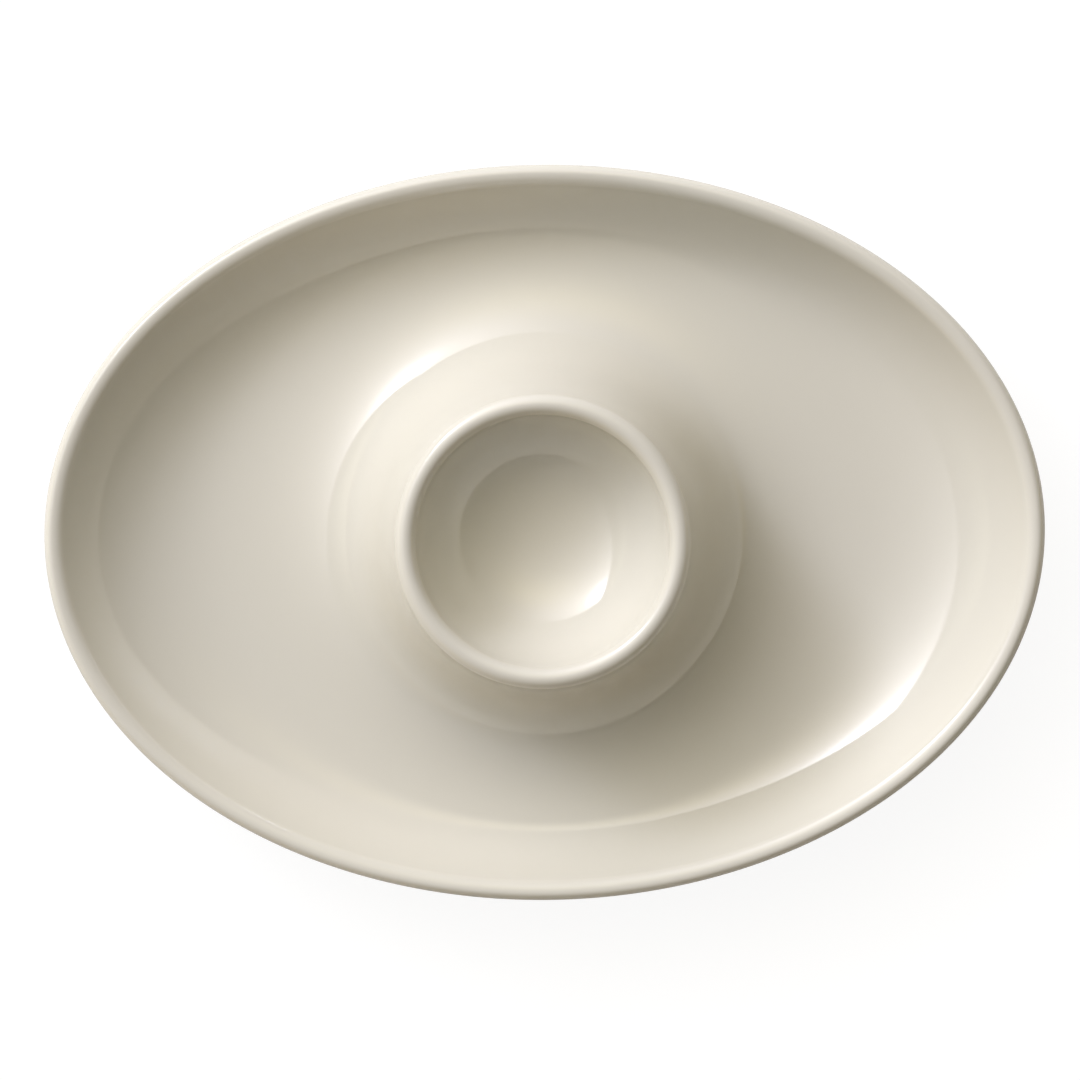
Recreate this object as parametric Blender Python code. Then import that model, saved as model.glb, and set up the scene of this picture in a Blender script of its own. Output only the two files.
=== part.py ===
"""Egg cup on an oval saucer, in glazed porcelain.

The cup and the saucer are two pieces of clay. The cup's open foot stands in a round seat in the
middle of the saucer, where slip joins the two before firing. Metres, +Z up, origin on the table
under the middle of the saucer, with the saucer's long axis along X.
"""

import math

import bmesh
import bpy

for old in list(bpy.data.objects):
    bpy.data.objects.remove(old)

# Saucer: outline, lip and base
SAUCER_LENGTH = 0.1607
SAUCER_WIDTH = 0.1184
SAUCER_HEIGHT = 0.0181
SAUCER_LIP_THICKNESS = 0.0034
SAUCER_BASE_THICKNESS = 0.0042
VENT_HOLE_DIAMETER = 0.0040

# Saucer wall: its tilt where it meets the lip, and how full its curve is
END_LIP_TILT = math.radians(53.6)
SIDE_LIP_TILT = math.radians(72.5)
END_WALL_HANDLE = 0.45
SIDE_WALL_HANDLE = 0.52
END_FLOOR_HANDLE = 0.645
SIDE_FLOOR_HANDLE = 0.48

# Channel round the cup: how far from the seat to the lip its lowest line runs
END_CHANNEL_SHARE = 0.447
SIDE_CHANNEL_SHARE = 0.650

# Seat for the cup in the saucer's middle, with the collar that rises to the cup's skirt
SEAT_DIAMETER = 0.0650
SEAT_DEPTH = 0.0040
COLLAR_RISE = 0.00345
COLLAR_TILT = math.radians(37.5)

# Foot ring under the saucer
FOOT_HEIGHT = 0.0023
FOOT_WIDTH = 0.0028
FOOT_SETBACK = 0.0045

# Cup
CUP_HEIGHT = 0.0336
CUP_MOUTH_DIAMETER = 0.0408
CUP_LIP_THICKNESS = 0.0026
CUP_WALL_THICKNESS = 0.0036
CUP_LIP_TILT = math.radians(80.0)
CUP_LIP_HANDLE = 0.55
CUP_FOOT_HANDLE = 0.19

# Bowl for the egg: its bottom's height over the cup's foot, its tilt where it meets the lip, and how
# full its curve is
BOWL_BOTTOM_HEIGHT = 0.0090
BOWL_LIP_TILT = math.radians(82.0)
BOWL_WALL_HANDLE = 0.89
BOWL_FLOOR_HANDLE = 0.55

# Clearance of the slip joint between the cup's foot and its seat
JOINT_GAP = 0.0003

# Glaze, as it shows on both pieces
GLAZE_COLOR = (0.83, 0.79, 0.69, 1.0)
GLAZE_ROUGHNESS = 0.06

# Facets
SAUCER_SEGMENTS = 80
CUP_SEGMENTS = 60
ARC_STEPS = 3
CURVE_STEPS = 8
SHARP_EDGE_ANGLE = math.radians(32.0)
WELD_DISTANCE = 1e-6

# Levels that both pieces share
CHANNEL_FLOOR = FOOT_HEIGHT + SAUCER_BASE_THICKNESS
COLLAR_TOP = CHANNEL_FLOOR + COLLAR_RISE
SEAT_FLOOR = COLLAR_TOP - SEAT_DEPTH
SEAT_RADIUS = SEAT_DIAMETER / 2


def bezier(points, share):
    """Point at a share of the way along the Bezier curve of the control points."""
    while len(points) > 1:
        points = [
            (a[0] + (b[0] - a[0]) * share, a[1] + (b[1] - a[1]) * share)
            for a, b in zip(points, points[1:])
        ]
    return points[0]


def curve(points, steps=CURVE_STEPS):
    """Points along a Bezier curve, its start left out because the last curve ended there."""
    return [bezier(points, step / steps) for step in range(1, steps + 1)]


def arc(center, radius, start, end, steps=ARC_STEPS):
    """Points on an arc, its start left out. Angles run from +Z towards the axis."""
    angles = [start + (end - start) * step / steps for step in range(1, steps + 1)]
    return [
        (center[0] - radius * math.sin(angle), center[1] + radius * math.cos(angle))
        for angle in angles
    ]


def lip(center, radius, inside, outside):
    """Points over a round lip, with one on its crown and one on its outermost line if it has that."""
    corners = [inside, 0, outside]
    if outside < -math.pi / 2:
        corners = [inside, 0, -math.pi / 2, outside]
    points = []
    for start, end in zip(corners, corners[1:]):
        points += arc(center, radius, start, end)
    return points


def saucer_section(half_axis, channel_share, lip_tilt, wall_handle, floor_handle):
    """Closed outline of the saucer's clay, from the axis outwards, cut along one half axis."""
    lip_radius = SAUCER_LIP_THICKNESS / 2
    lip_center = (half_axis - lip_radius, SAUCER_HEIGHT - lip_radius)
    lip_inside = arc(lip_center, lip_radius, 0, lip_tilt, 1)[0]
    lip_outside = arc(lip_center, lip_radius, 0, lip_tilt - math.pi, 1)[0]
    vent_radius = VENT_HOLE_DIAMETER / 2

    # Seat and collar, then the hollow of the channel down to its lowest line
    channel = SEAT_RADIUS + channel_share * (lip_inside[0] - SEAT_RADIUS)
    collar_foot = SEAT_RADIUS + COLLAR_RISE / math.tan(COLLAR_TILT)
    outline = [(vent_radius, SEAT_FLOOR), (SEAT_RADIUS, SEAT_FLOOR), (SEAT_RADIUS, COLLAR_TOP)]
    outline += curve([outline[-1], (collar_foot, CHANNEL_FLOOR), (channel, CHANNEL_FLOOR)])

    # Wall up to the lip, over the lip, and down the outside to the foot ring
    inner_wall = ((channel, CHANNEL_FLOOR), lip_inside)
    outline += curve(wall_handles(*inner_wall, lip_tilt, wall_handle, floor_handle))
    outline += lip(lip_center, lip_radius, lip_tilt, lip_tilt - math.pi)
    foot_outside = channel - FOOT_SETBACK
    foot_inside = foot_outside - FOOT_WIDTH
    outer_wall = ((foot_outside, FOOT_HEIGHT), lip_outside)
    outline += curve(wall_handles(*outer_wall, lip_tilt, wall_handle, floor_handle)[::-1])

    # Foot ring, and the flat base inside it
    outline += [(foot_outside, 0), (foot_inside, 0), (foot_inside, FOOT_HEIGHT)]
    outline += [(vent_radius, FOOT_HEIGHT)]
    return outline


def wall_handles(low, high, lip_tilt, wall_handle, floor_handle):
    """Control points of a wall that leaves the floor level and meets the lip at its tilt."""
    rise = wall_handle * (high[1] - low[1])
    under_lip = (high[0] - rise / math.tan(lip_tilt), high[1] - rise)
    on_floor = (low[0] + floor_handle * (under_lip[0] - low[0]), low[1])
    return [low, on_floor, under_lip, high]


def cup_section():
    """Half outline of the cup's clay, from the bowl's middle round to its underside."""
    foot_level = SEAT_FLOOR + JOINT_GAP
    lip_radius = CUP_LIP_THICKNESS / 2
    lip_center = (CUP_MOUTH_DIAMETER / 2 + lip_radius, CUP_HEIGHT - foot_level - lip_radius)
    lip_inside = arc(lip_center, lip_radius, 0, BOWL_LIP_TILT, 1)[0]

    # Bowl, lip, and the skirt that flares to the foot
    bottom = (0, BOWL_BOTTOM_HEIGHT)
    bowl = [bottom] + curve(bowl_handles(bottom, lip_inside))
    outline = bowl + lip(lip_center, lip_radius, BOWL_LIP_TILT, -CUP_LIP_TILT)
    foot_radius = SEAT_RADIUS - JOINT_GAP
    collar_level = COLLAR_TOP - foot_level + JOINT_GAP * math.tan(COLLAR_TILT)
    skirt = skirt_handles(outline[-1], (foot_radius, collar_level))
    outline += curve(skirt)
    outline += [(foot_radius, 0), (foot_radius - CUP_WALL_THICKNESS, 0)]

    # Hollow inside the skirt, up to where the skirt's wall meets the bowl's
    outline += [
        (r - CUP_WALL_THICKNESS, z)
        for r, z in curve(skirt[::-1])
        if min(math.dist((r - CUP_WALL_THICKNESS, z), point) for point in bowl) > CUP_WALL_THICKNESS
    ]
    roof_middle = (0, bottom[1] - CUP_WALL_THICKNESS)
    roof_edge = (lip_inside[0] + CUP_WALL_THICKNESS, lip_inside[1])
    roof = [roof_middle] + curve(bowl_handles(roof_middle, roof_edge))
    outline += [point for point in roof[::-1] if point[0] < outline[-1][0]]
    return outline


def bowl_handles(bottom, edge):
    """Control points of the bowl's curve, level in the middle and steep at its edge."""
    return wall_handles(bottom, edge, BOWL_LIP_TILT, BOWL_WALL_HANDLE, BOWL_FLOOR_HANDLE)


def skirt_handles(top, foot):
    """Control points of the cup's skirt, steep under the lip and flared at the collar."""
    drop = CUP_LIP_HANDLE * math.dist(top, foot)
    rise = CUP_FOOT_HANDLE * math.dist(top, foot)
    under_lip = (top[0] + drop * math.cos(CUP_LIP_TILT), top[1] - drop * math.sin(CUP_LIP_TILT))
    on_collar = (foot[0] - rise * math.cos(COLLAR_TILT), foot[1] + rise * math.sin(COLLAR_TILT))
    return [top, under_lip, on_collar, foot]


def add_piece(name, mesh_builder, material, location):
    """Object made from a filled bmesh, smooth but for its true edges."""
    mesh = bpy.data.meshes.new(name)
    bm = bmesh.new()
    mesh_builder(bm)
    bmesh.ops.recalc_face_normals(bm, faces=bm.faces)
    bm.to_mesh(mesh)
    bm.free()
    mesh.shade_smooth()
    mesh.set_sharp_from_angle(angle=SHARP_EDGE_ANGLE)
    mesh.materials.append(material)
    piece = bpy.data.objects.new(name, mesh)
    piece.location = location
    bpy.context.collection.objects.link(piece)
    return piece


def loft_saucer(bm):
    """Oval rings that blend the section on the long axis into the one on the short axis."""
    ends = saucer_section(
        SAUCER_LENGTH / 2, END_CHANNEL_SHARE, END_LIP_TILT, END_WALL_HANDLE, END_FLOOR_HANDLE
    )
    sides = saucer_section(
        SAUCER_WIDTH / 2, SIDE_CHANNEL_SHARE, SIDE_LIP_TILT, SIDE_WALL_HANDLE, SIDE_FLOOR_HANDLE
    )
    rings = []
    for (half_length, end_level), (half_width, side_level) in zip(ends, sides):
        ring = []
        for step in range(SAUCER_SEGMENTS):
            turn = 2 * math.pi * step / SAUCER_SEGMENTS
            across, along = math.sin(turn), math.cos(turn)
            level = end_level * along ** 2 + side_level * across ** 2
            ring.append(bm.verts.new((half_length * along, half_width * across, level)))
        rings.append(ring)
    for ring, next_ring in zip(rings, rings[1:] + rings[:1]):
        for step in range(SAUCER_SEGMENTS):
            bm.faces.new((ring[step - 1], ring[step], next_ring[step], next_ring[step - 1]))


def turn_cup(bm):
    """The cup's section turned once round its axis."""
    verts = [bm.verts.new((r, 0, z)) for r, z in cup_section()]
    edges = [bm.edges.new(pair) for pair in zip(verts, verts[1:])]
    bmesh.ops.spin(
        bm, geom=verts + edges, axis=(0, 0, 1), cent=(0, 0, 0),
        angle=2 * math.pi, steps=CUP_SEGMENTS, use_merge=True,
    )
    bmesh.ops.remove_doubles(bm, verts=bm.verts, dist=WELD_DISTANCE)


def glaze(name):
    """Ivory glaze over porcelain."""
    material = bpy.data.materials.new(name)
    material.use_nodes = True
    shader = material.node_tree.nodes["Principled BSDF"]
    shader.inputs["Base Color"].default_value = GLAZE_COLOR
    shader.inputs["Roughness"].default_value = GLAZE_ROUGHNESS
    shader.inputs["Metallic"].default_value = 0.0
    return material


add_piece("oval_saucer", loft_saucer, glaze("saucer_glaze"), (0, 0, 0))
add_piece("egg_cup", turn_cup, glaze("cup_glaze"), (0, 0, SEAT_FLOOR + JOINT_GAP))
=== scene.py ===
"""Looks of an egg cup on an oval saucer: fine porcelain surfaces, glaze, bare foot ring and studio."""

import math

import bpy
from mathutils import Matrix, Vector


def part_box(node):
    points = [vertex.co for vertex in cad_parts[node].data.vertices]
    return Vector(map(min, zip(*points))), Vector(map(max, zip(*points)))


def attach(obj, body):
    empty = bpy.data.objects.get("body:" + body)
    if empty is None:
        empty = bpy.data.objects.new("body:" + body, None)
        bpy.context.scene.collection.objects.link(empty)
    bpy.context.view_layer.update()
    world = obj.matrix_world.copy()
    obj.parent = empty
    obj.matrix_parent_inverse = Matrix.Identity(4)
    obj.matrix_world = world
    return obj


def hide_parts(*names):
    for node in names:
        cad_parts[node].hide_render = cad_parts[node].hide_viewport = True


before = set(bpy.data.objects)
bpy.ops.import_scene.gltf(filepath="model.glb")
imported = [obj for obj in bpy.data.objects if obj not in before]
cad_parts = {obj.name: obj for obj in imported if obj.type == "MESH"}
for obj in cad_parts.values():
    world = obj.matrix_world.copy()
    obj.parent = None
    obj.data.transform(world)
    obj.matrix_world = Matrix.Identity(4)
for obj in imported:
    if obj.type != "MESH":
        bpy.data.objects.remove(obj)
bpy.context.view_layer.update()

# Clay of the oval saucer: a dish of ivory-white porcelain, cast in a mould and sponged smooth.
# Its rounded lip runs down into a hollow channel, a collar rises from that to the cup's skirt,
# and a trimmed foot ring carries it. Slip joins the cup to the round seat in its middle.
_, saucer_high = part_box("oval_saucer")
cup_low, cup_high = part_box("egg_cup")

SAUCER_LIP_THICKNESS = 0.0034
SAUCER_CROWN_SETBACK = 0.0013
SAUCER_BASE_THICKNESS = 0.0042
END_LIP_TILT = math.radians(53.6)
SIDE_LIP_TILT = math.radians(72.5)
END_WALL_HANDLE = 0.45
SIDE_WALL_HANDLE = 0.52
END_FLOOR_HANDLE = 0.645
SIDE_FLOOR_HANDLE = 0.48
END_CHANNEL_SHARE = 0.447
SIDE_CHANNEL_SHARE = 0.650
SEAT_RADIUS = 0.0325
SEAT_DEPTH = 0.0040
COLLAR_RISE = 0.00345
COLLAR_TILT = math.radians(37.5)
FOOT_HEIGHT = 0.0023
FOOT_WIDTH = 0.0028
FOOT_SETBACK = 0.0045
FOOT_ROUNDING = 0.0006
VENT_RADIUS = 0.0020

CHANNEL_FLOOR = FOOT_HEIGHT + SAUCER_BASE_THICKNESS
COLLAR_TOP = CHANNEL_FLOOR + COLLAR_RISE
SEAT_FLOOR = COLLAR_TOP - SEAT_DEPTH

# The glaze closes the joint, so the saucer's skin starts where the cup's skirt ends
SEAM_RADIUS = cup_high.x
SEAM_LEVEL = COLLAR_TOP + (SEAT_RADIUS - SEAM_RADIUS) * math.tan(COLLAR_TILT)

SEGMENTS = 288
CURVE_STEPS = 30
ARC_STEPS = 10
SHARP_EDGE_ANGLE = math.radians(40.0)


def bezier(points, share):
    """Point at a share of the way along the Bezier curve of the control points."""
    while len(points) > 1:
        points = [
            (a[0] + (b[0] - a[0]) * share, a[1] + (b[1] - a[1]) * share)
            for a, b in zip(points, points[1:])
        ]
    return points[0]


def curve(points, steps=CURVE_STEPS):
    """Points along a Bezier curve, its start left out because the last curve ended there."""
    return [bezier(points, step / steps) for step in range(1, steps + 1)]


def arc(center, radius, start, end, steps=ARC_STEPS, stretch=1.0):
    """Points on an arc, its start left out. Angles run from +Z towards the axis, stretch widens it."""
    angles = [start + (end - start) * step / steps for step in range(1, steps + 1)]
    return [
        (center[0] - stretch * radius * math.sin(angle), center[1] + radius * math.cos(angle))
        for angle in angles
    ]


def eased(points, radius):
    """A run of straight edges whose inner corners are rounded off, its start left out."""
    run = []
    for before, corner, after in zip(points, points[1:], points[2:]):
        back = bezier([corner, before], radius / math.dist(corner, before))
        onward = bezier([corner, after], radius / math.dist(corner, after))
        run += [back, *curve([back, corner, onward], ARC_STEPS)]
    return [*run, points[-1]]


def wall(low, high, lip_tilt, wall_handle, floor_handle):
    """Control points of a wall that leaves the floor level and meets the lip at its tilt."""
    rise = wall_handle * (high[1] - low[1])
    under_lip = (high[0] - rise / math.tan(lip_tilt), high[1] - rise)
    on_floor = (low[0] + floor_handle * (under_lip[0] - low[0]), low[1])
    return [low, on_floor, under_lip, high]


def saucer_section(half_axis, channel_share, lip_tilt, wall_handle, floor_handle):
    """Closed outline of the saucer along one half axis, from the seam with the cup outwards."""
    # The lip's crown lies nearer to its outside, and each half meets the wall at the wall's tilt
    lip_radius = SAUCER_LIP_THICKNESS / 2
    lip_center = (half_axis - SAUCER_CROWN_SETBACK, saucer_high.z - lip_radius)
    outer_stretch = SAUCER_CROWN_SETBACK / lip_radius
    inner_stretch = 2 - outer_stretch
    inside_turn = math.atan(inner_stretch * math.tan(lip_tilt))
    outside_turn = math.atan(outer_stretch * math.tan(lip_tilt)) - math.pi
    lip_inside = arc(lip_center, lip_radius, 0, inside_turn, 1, inner_stretch)[0]
    lip_outside = arc(lip_center, lip_radius, 0, outside_turn, 1, outer_stretch)[0]

    # Collar and channel
    channel = SEAT_RADIUS + channel_share * (lip_inside[0] - SEAT_RADIUS)
    collar_foot = SEAT_RADIUS + COLLAR_RISE / math.tan(COLLAR_TILT)
    outline = [(SEAM_RADIUS, SEAM_LEVEL)]
    outline += curve([outline[0], (collar_foot, CHANNEL_FLOOR), (channel, CHANNEL_FLOOR)])

    # Wall, lip with a point on its crown and on its outermost line, and the wall's outside
    inside = ((channel, CHANNEL_FLOOR), lip_inside)
    outline += curve(wall(*inside, lip_tilt, wall_handle, floor_handle))
    outline += arc(lip_center, lip_radius, inside_turn, 0, stretch=inner_stretch)
    outline += arc(lip_center, lip_radius, 0, -math.pi / 2, stretch=outer_stretch)
    outline += arc(lip_center, lip_radius, -math.pi / 2, outside_turn, stretch=outer_stretch)
    foot_outside = channel - FOOT_SETBACK
    foot_inside = foot_outside - FOOT_WIDTH
    outside = ((foot_outside, FOOT_HEIGHT), lip_outside)
    underside = curve(wall(*outside, lip_tilt, wall_handle, floor_handle)[::-1])

    # The underside's last two points make room for the rounding at the foot ring
    outline += underside[:-2]

    # Foot ring, flat base, vent hole and the seat, back to the seam
    outline += eased(
        [
            outline[-1], (foot_outside, FOOT_HEIGHT), (foot_outside, 0), (foot_inside, 0),
            (foot_inside, FOOT_HEIGHT), (VENT_RADIUS, FOOT_HEIGHT), (VENT_RADIUS, SEAT_FLOOR),
            (SEAM_RADIUS, SEAT_FLOOR),
        ],
        FOOT_ROUNDING,
    )
    return outline


def round_and_round(ends, sides):
    """Points and faces of level ovals through two sections, one on the long and one on the short axis."""
    points = []
    for (half_length, end_level), (half_width, side_level) in zip(ends, sides):
        for step in range(SEGMENTS):
            turn = 2 * math.pi * step / SEGMENTS
            along, across = math.cos(turn), math.sin(turn)
            level = end_level * along ** 2 + side_level * across ** 2
            points.append((half_length * along, half_width * across, level))
    faces = []
    for ring in range(len(ends) - 1):
        inner, outer = ring * SEGMENTS, (ring + 1) * SEGMENTS
        for step in range(SEGMENTS):
            after = (step + 1) % SEGMENTS
            faces.append((inner + step, outer + step, outer + after, inner + after))
    return points, faces


def add_piece(name, points, faces, node):
    """Porcelain object, smooth but for its true edges, that stands for a node of the part."""
    mesh = bpy.data.meshes.new(name)
    mesh.from_pydata(points, [], faces)
    mesh.shade_smooth()
    mesh.set_sharp_from_angle(angle=SHARP_EDGE_ANGLE)
    piece = bpy.data.objects.new(name, mesh)
    bpy.context.scene.collection.objects.link(piece)
    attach(piece, "root")
    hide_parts(node)
    return piece


ends = saucer_section(
    saucer_high.x, END_CHANNEL_SHARE, END_LIP_TILT, END_WALL_HANDLE, END_FLOOR_HANDLE
)
sides = saucer_section(
    saucer_high.y, SIDE_CHANNEL_SHARE, SIDE_LIP_TILT, SIDE_WALL_HANDLE, SIDE_FLOOR_HANDLE
)
points, faces = round_and_round(ends, sides)
last_ring = len(points) - SEGMENTS
for step in range(SEGMENTS):
    after = (step + 1) % SEGMENTS
    faces.append((last_ring + step, step, after, last_ring + after))
saucer = add_piece("saucer_glazed", points, faces, "oval_saucer")

# Glaze: a clear gloss coat, poured over the ivory body and fired. It is paler where it is thin on
# the lip and deeper where the melt gathers, and it is wiped off the tread of the foot ring.
IVORY = (0.823, 0.803, 0.727, 1.0)
THIN_GLAZE = (0.843, 0.825, 0.757, 1.0)
POOLED_GLAZE = (0.808, 0.785, 0.703, 1.0)
BARE_CLAY = (0.720, 0.690, 0.630, 1.0)
CLOUD_LEAST = 0.25
CLOUD_MOST = 0.75
THIN_SHARE = 0.6
POOL_SHARE = 0.5
POOL_EVENNESS = 0.55
GLAZE_ROUGHNESS = 0.045
GLOSS_SPREAD = 0.02
BARE_ROUGHNESS = 0.62
GLAZE_IOR = 1.58

# Humps in a metre, and how high they stand
CLOUD_HUMPS = 55.0
MELT_HUMPS = 420.0
GRAIN_HUMPS = 5200.0
CLOUD_RELIEF = 0.000012
MELT_RELIEF = 0.0000012
GRAIN_RELIEF = 0.00002

LIP_BAND = 0.0016
TREAD_LEVEL = 0.00030
GLAZE_EDGE_LEVEL = 0.00042
GLAZE_EDGE_WAVER = 0.0002
COLLAR_POOL_SETBACK = 0.006
COLLAR_POOL_REACH = 0.008


class Shade:
    """A value in a node tree. Arithmetic with it adds Math nodes."""

    def __init__(self, tree, socket=None):
        self.tree = tree
        self.socket = socket

    def node(self, kind, settings, sockets, output=0):
        """Adds a node, sets it up, fills or links its sockets and gives one of its outputs."""
        made = self.tree.nodes.new(kind)
        for name, value in settings.items():
            setattr(made, name, value)
        for name, value in sockets.items():
            if isinstance(value, Shade):
                self.tree.links.new(value.socket, made.inputs[name])
            else:
                made.inputs[name].default_value = value
        return Shade(self.tree, made.outputs[output] if made.outputs else None)

    def math(self, operation, first, second=0.0):
        return self.node("ShaderNodeMath", {"operation": operation}, {0: first, 1: second})

    def __add__(self, other):
        return self.math("ADD", self, other)

    __radd__ = __add__

    def __mul__(self, other):
        return self.math("MULTIPLY", self, other)

    __rmul__ = __mul__

    def __sub__(self, other):
        return self.math("SUBTRACT", self, other)

    def __rsub__(self, other):
        return self.math("SUBTRACT", other, self)

    def __truediv__(self, other):
        return self.math("DIVIDE", self, other)

    def __rtruediv__(self, other):
        return self.math("DIVIDE", other, self)

    def __neg__(self):
        return self.math("MULTIPLY", self, -1.0)

    def step(self, start, end):
        """Smooth rise from 0 to 1 as the value goes from start to end."""
        ends = {"From Min": start, "From Max": end, "Value": self}
        return self.node("ShaderNodeMapRange", {"interpolation_type": "SMOOTHSTEP"}, ends)

    def mix(self, colour, other):
        """The first colour where the value is 0, the other where it is 1."""
        sockets = {"Factor": self, 6: colour, 7: other}
        return self.node("ShaderNodeMix", {"data_type": "RGBA"}, sockets, output=2)


def noise(place, humps, detail):
    """Soft cloud from 0 to 1 with that many humps in a metre."""
    sockets = {"Vector": place, "Scale": humps, "Detail": detail, "Roughness": 0.5}
    return place.node("ShaderNodeTexNoise", {}, sockets)


def glaze(piece, name, lip_level, pool_radius, pool_reach):
    """Glazed porcelain, thin above a level and pooled round a radius from the axis."""
    material = bpy.data.materials.new(name)
    material.use_nodes = True
    tree = material.node_tree
    shader = tree.nodes["Principled BSDF"]
    place = Shade(tree).node("ShaderNodeTexCoord", {}, {}, output="Object")
    axes = {"Vector": place}
    x = place.node("ShaderNodeSeparateXYZ", {}, axes, output="X")
    y = place.node("ShaderNodeSeparateXYZ", {}, axes, output="Y")
    z = place.node("ShaderNodeSeparateXYZ", {}, axes, output="Z")
    radius = x.math("SQRT", x * x + y * y)

    # Colour: cloudy ivory, paler on the lip, deeper where the melt gathers, matt on the bare tread
    cloud = noise(place, CLOUD_HUMPS, 2.0)
    melt = noise(place, MELT_HUMPS, 1.0)
    thin = z.step(lip_level - LIP_BAND, lip_level)
    away = radius.math("ABSOLUTE", radius - pool_radius)
    pooled = (1.0 - away.step(0.0, pool_reach)) * (POOL_EVENNESS + (1 - POOL_EVENNESS) * cloud)
    bare = 1.0 - (z + GLAZE_EDGE_WAVER * melt).step(TREAD_LEVEL, GLAZE_EDGE_LEVEL)
    colour = (CLOUD_LEAST + (CLOUD_MOST - CLOUD_LEAST) * cloud).mix(IVORY, POOLED_GLAZE)
    colour = (THIN_SHARE * thin).mix(colour, THIN_GLAZE)
    colour = (POOL_SHARE * pooled).mix(colour, POOLED_GLAZE)
    colour = bare.mix(colour, BARE_CLAY)
    tree.links.new(colour.socket, shader.inputs["Base Color"])

    # Gloss, with the slight ripple of a fired melt
    rough = GLAZE_ROUGHNESS + GLOSS_SPREAD * melt + (BARE_ROUGHNESS - GLAZE_ROUGHNESS) * bare
    tree.links.new(rough.socket, shader.inputs["Roughness"])
    grain = noise(place, GRAIN_HUMPS, 2.0)
    relief = CLOUD_RELIEF * cloud + MELT_RELIEF * melt + GRAIN_RELIEF * grain * bare
    bump = relief.node("ShaderNodeBump", {}, {"Height": relief, "Strength": 1.0, "Distance": 1.0})
    tree.links.new(bump.socket, shader.inputs["Normal"])
    shader.inputs["IOR"].default_value = GLAZE_IOR
    piece.data.materials.append(material)


glaze(saucer, "saucer_glaze", saucer_high.z, SEAT_RADIUS + COLLAR_POOL_SETBACK, COLLAR_POOL_REACH)

# Clay of the egg cup: a hollow porcelain body, cast by itself, with a round-bottomed bowl for the
# egg, a full-round lip and a skirt that flares to an open foot. The foot stands in the saucer's
# seat in a bed of slip, and the glaze runs over the joint.
CUP_LIP_THICKNESS = 0.0034
CUP_MOUTH_RADIUS = 0.0200
CUP_WALL_THICKNESS = 0.0036
CUP_LIP_TILT = math.radians(80.0)
CUP_LIP_HANDLE = 0.55
CUP_FOOT_HANDLE = 0.19
BOWL_BOTTOM_HEIGHT = 0.0101
BOWL_LIP_TILT = math.radians(82.0)
BOWL_WALL_HANDLE = 0.89
BOWL_FLOOR_HANDLE = 0.57
BOWL_POOL_REACH = 0.014


def bowl_curve(bottom, edge):
    """Points of the bowl's curve, level in the middle and steep at its edge, the middle left out."""
    return curve(wall(bottom, edge, BOWL_LIP_TILT, BOWL_WALL_HANDLE, BOWL_FLOOR_HANDLE))


def cup_section():
    """Outline of the cup from the bowl's middle, over the lip and under the foot, to the axis again."""
    lip_radius = CUP_LIP_THICKNESS / 2
    lip_center = (CUP_MOUTH_RADIUS + lip_radius, cup_high.z - lip_radius)
    lip_inside = arc(lip_center, lip_radius, 0, BOWL_LIP_TILT, 1)[0]

    # Bowl, lip, skirt down to the seam, and the foot that stands in the seat
    bottom = (0, cup_low.z + BOWL_BOTTOM_HEIGHT)
    bowl = bowl_curve(bottom, lip_inside)
    outline = bowl + arc(lip_center, lip_radius, BOWL_LIP_TILT, 0)
    outline += arc(lip_center, lip_radius, 0, -CUP_LIP_TILT)
    top, seam = outline[-1], (SEAM_RADIUS, SEAM_LEVEL)
    drop = CUP_LIP_HANDLE * math.dist(top, seam)
    rise = CUP_FOOT_HANDLE * math.dist(top, seam)
    skirt = [
        top,
        (top[0] + drop * math.cos(CUP_LIP_TILT), top[1] - drop * math.sin(CUP_LIP_TILT)),
        (seam[0] - rise * math.cos(COLLAR_TILT), seam[1] + rise * math.sin(COLLAR_TILT)),
        seam,
    ]
    outline += curve(skirt)
    outline += [(SEAM_RADIUS, cup_low.z), (SEAM_RADIUS - CUP_WALL_THICKNESS, cup_low.z)]

    # Hollow inside the skirt, up to where the skirt's wall meets the bowl's
    outline += [
        (r - CUP_WALL_THICKNESS, z)
        for r, z in curve(skirt[::-1])
        if min(math.dist((r - CUP_WALL_THICKNESS, z), point) for point in bowl) > CUP_WALL_THICKNESS
    ]
    roof_middle = (0, bottom[1] - CUP_WALL_THICKNESS)
    roof = bowl_curve(roof_middle, (lip_inside[0] + CUP_WALL_THICKNESS, lip_inside[1]))
    outline += [point for point in roof[::-1] if point[0] < outline[-1][0]]
    return outline, bottom[1], roof_middle[1]


section, bowl_bottom, bowl_underside = cup_section()
points, faces = round_and_round(section, section)
last_ring = len(points) - SEGMENTS
points += [(0, 0, bowl_bottom), (0, 0, bowl_underside)]
for step in range(SEGMENTS):
    after = (step + 1) % SEGMENTS
    faces.append((len(points) - 2, step, after))
    faces.append((len(points) - 1, last_ring + after, last_ring + step))
cup = add_piece("cup_glazed", points, faces, "egg_cup")
glaze(cup, "cup_glaze", cup_high.z, 0.0, BOWL_POOL_REACH)

# Floor: a wide sheet of white paper under the piece. The camera sees it lit through, so that it is
# white all over and yet keeps the piece's soft shadow.
FLOOR_RADIUS = 2.0
FLOOR_SIDES = 96
FLOOR_DROP = 0.0002
PAPER = (0.93, 0.93, 0.92, 1.0)
PAPER_IN_VIEW = (0.16, 0.16, 0.16, 1.0)
PAPER_GLOW = 0.91

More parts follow.
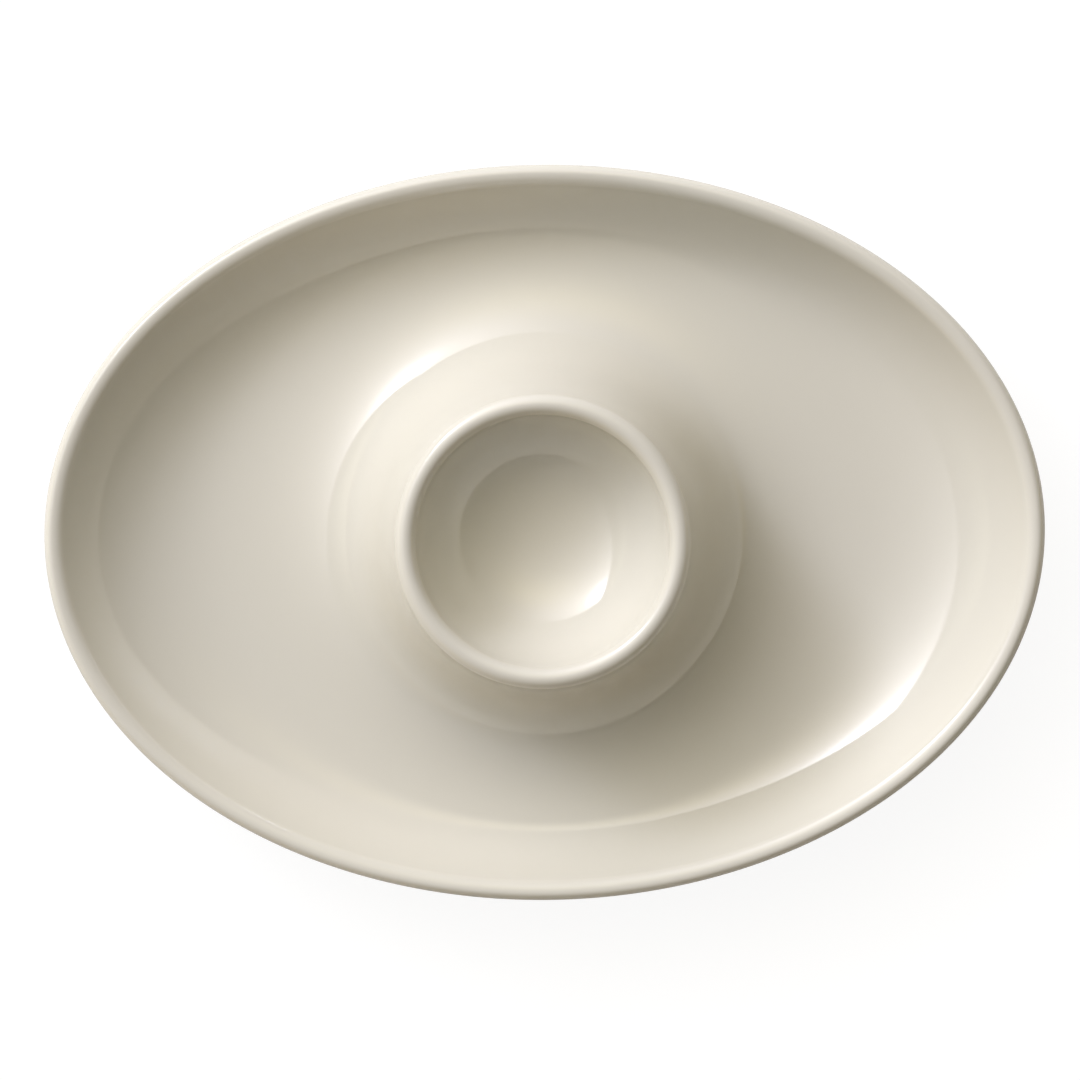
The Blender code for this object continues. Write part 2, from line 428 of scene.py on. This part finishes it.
bpy.ops.mesh.primitive_circle_add(
    vertices=FLOOR_SIDES, radius=FLOOR_RADIUS, fill_type="NGON", location=(0, 0, -FLOOR_DROP)
)
floor = bpy.context.object
floor.name = "paper_floor"
paper = bpy.data.materials.new("paper")
paper.use_nodes = True
tree = paper.node_tree
tree.nodes.clear()
seen = Shade(tree).node("ShaderNodeLightPath", {}, {}, output="Is Camera Ray")
plain = seen.node("ShaderNodeBsdfDiffuse", {}, {"Color": PAPER})
shaded = seen.node("ShaderNodeBsdfDiffuse", {}, {"Color": PAPER_IN_VIEW})
glow = seen.node("ShaderNodeEmission", {}, {"Strength": PAPER_GLOW})
lit_through = seen.node("ShaderNodeAddShader", {}, {0: shaded, 1: glow})
sheet = seen.node("ShaderNodeMixShader", {}, {"Fac": seen, 1: plain, 2: lit_through})
seen.node("ShaderNodeOutputMaterial", {}, {"Surface": sheet})
floor.data.materials.append(paper)

# Studio: a large soft light from the upper left and low, hotter in its middle and cut off below by
# the straight edge of its frame. Weak warm light comes back from the room all round. Only the
# camera sees the white surround.
KEY_TURN = math.radians(130.0)
KEY_RISE = math.radians(30.0)
FRAME_SLANT = math.radians(48.9)
FRAME_DROP = -0.139
FRAME_BLUR = 0.020

# Turn and rise of the middle, half width and half height in degrees, and the colour of its light
KEY_PATCHES = (
    (138.4, 29.4, 32.2, 28.7, (4.97, 4.81, 5.07, 1.0)),
    (138.1, 29.6, 8.5, 8.8, (11.4, 12.5, 15.8, 1.0)),
)
ROOM_PATCHES = (
    (0.0, 6.0, 20.0, 14.0, (0.49, 0.33, 0.0, 1.0)),
    (170.0, 14.0, 36.0, 24.0, (1.17, 1.11, 0.83, 1.0)),
    (240.0, 6.0, 20.0, 14.0, (0.86, 0.46, 0.0, 1.0)),
    (90.0, 60.0, 22.0, 16.0, (1.16, 1.0, 0.42, 1.0)),
)

scene = bpy.context.scene
world = bpy.data.worlds.new("studio")
scene.world = world
world.use_nodes = True
tree = world.node_tree
tree.nodes.clear()
direction = Shade(tree).node("ShaderNodeTexCoord", {}, {}, output="Generated")


def along(axis):
    """How far the looked-at direction goes along an axis."""
    sockets = {0: direction, 1: tuple(axis)}
    return direction.node("ShaderNodeVectorMath", {"operation": "DOT_PRODUCT"}, sockets, output="Value")


def axes_towards(turn, rise):
    """Unit vectors ahead, aside and above for someone who looks that way."""
    ahead = Vector((math.cos(rise) * math.cos(turn), math.cos(rise) * math.sin(turn), math.sin(rise)))
    aside = Vector((-math.sin(turn), math.cos(turn), 0))
    return ahead, aside, ahead.cross(aside)


def patch(turn, rise, half_width, half_height):
    """Soft patch of light, 1 in its middle, that fades out all round."""
    ahead, aside, above = axes_towards(math.radians(turn), math.radians(rise))
    across = along(aside) / math.sin(math.radians(half_width))
    upward = along(above) / math.sin(math.radians(half_height))
    facing = along(ahead).math("GREATER_THAN", along(ahead), 0.0)
    return facing * across.math("EXPONENT", -(across * across + upward * upward))


_, aside, above = axes_towards(KEY_TURN, KEY_RISE)
over_frame = along(above * math.cos(FRAME_SLANT) - aside * math.sin(FRAME_SLANT))
unframed = over_frame.step(FRAME_DROP - FRAME_BLUR, FRAME_DROP + FRAME_BLUR)
strengths = [(colour, unframed * patch(*place)) for *place, colour in KEY_PATCHES]
strengths += [(colour, patch(*place)) for *place, colour in ROOM_PATCHES]
light = direction.node("ShaderNodeBackground", {}, {"Strength": 0.0})
for colour, strength in strengths:
    glow = direction.node("ShaderNodeBackground", {}, {"Color": colour, "Strength": strength})
    light = direction.node("ShaderNodeAddShader", {}, {0: light, 1: glow})
white = direction.node("ShaderNodeBackground", {}, {"Color": (1, 1, 1, 1), "Strength": 1.0})
seen = direction.node("ShaderNodeLightPath", {}, {}, output="Is Camera Ray")
sky = direction.node("ShaderNodeMixShader", {}, {"Fac": seen, 1: light, 2: white})
direction.node("ShaderNodeOutputWorld", {}, {"Surface": sky})

# Camera: almost straight above the piece, a little past the zenith, at the photograph's framing.
# Pixel places are those of the photograph, and one pixel is that many metres at the saucer's rim.
PICTURE_WIDTH = 1080
PIXEL = 0.0001606
RIM_CENTER_X = 544.0
RIM_CENTER_Y = 534.1
LIP_SHIFT_X = 1.5
LIP_SHIFT_Y = 7.3
CAMERA_DISTANCE = 0.9
SENSOR_WIDTH = 36.0
ROLL = math.radians(0.87)

camera = bpy.data.cameras.new("camera")
camera.sensor_width = SENSOR_WIDTH
camera.lens = SENSOR_WIDTH * CAMERA_DISTANCE / (PICTURE_WIDTH * PIXEL)

# The shift between the two lips in the picture gives the lean
lip_rise = cup_high.z - CUP_LIP_THICKNESS / 2 - saucer_high.z + SAUCER_LIP_THICKNESS / 2
lean_side = LIP_SHIFT_X * PIXEL / lip_rise
lean_back = LIP_SHIFT_Y * PIXEL / lip_rise
back = Vector((lean_side, lean_back, 1.0)).normalized()
up = (Vector((0, 1, 0)) - back * back.y).normalized()
right = up.cross(back)
up = (up * math.cos(ROLL) + right * math.sin(ROLL)).normalized()
right = up.cross(back)
rim_center = Vector((0, 0, saucer_high.z - SAUCER_LIP_THICKNESS / 2))
target = rim_center - right * (RIM_CENTER_X - PICTURE_WIDTH / 2) * PIXEL
target -= up * (PICTURE_WIDTH / 2 - RIM_CENTER_Y) * PIXEL
camera_object = bpy.data.objects.new("camera", camera)
pose = Matrix((right, up, back)).transposed().to_4x4()
pose.translation = target + back * CAMERA_DISTANCE
camera_object.matrix_world = pose
scene.collection.objects.link(camera_object)
scene.camera = camera_object
scene.view_settings.view_transform = "Standard"
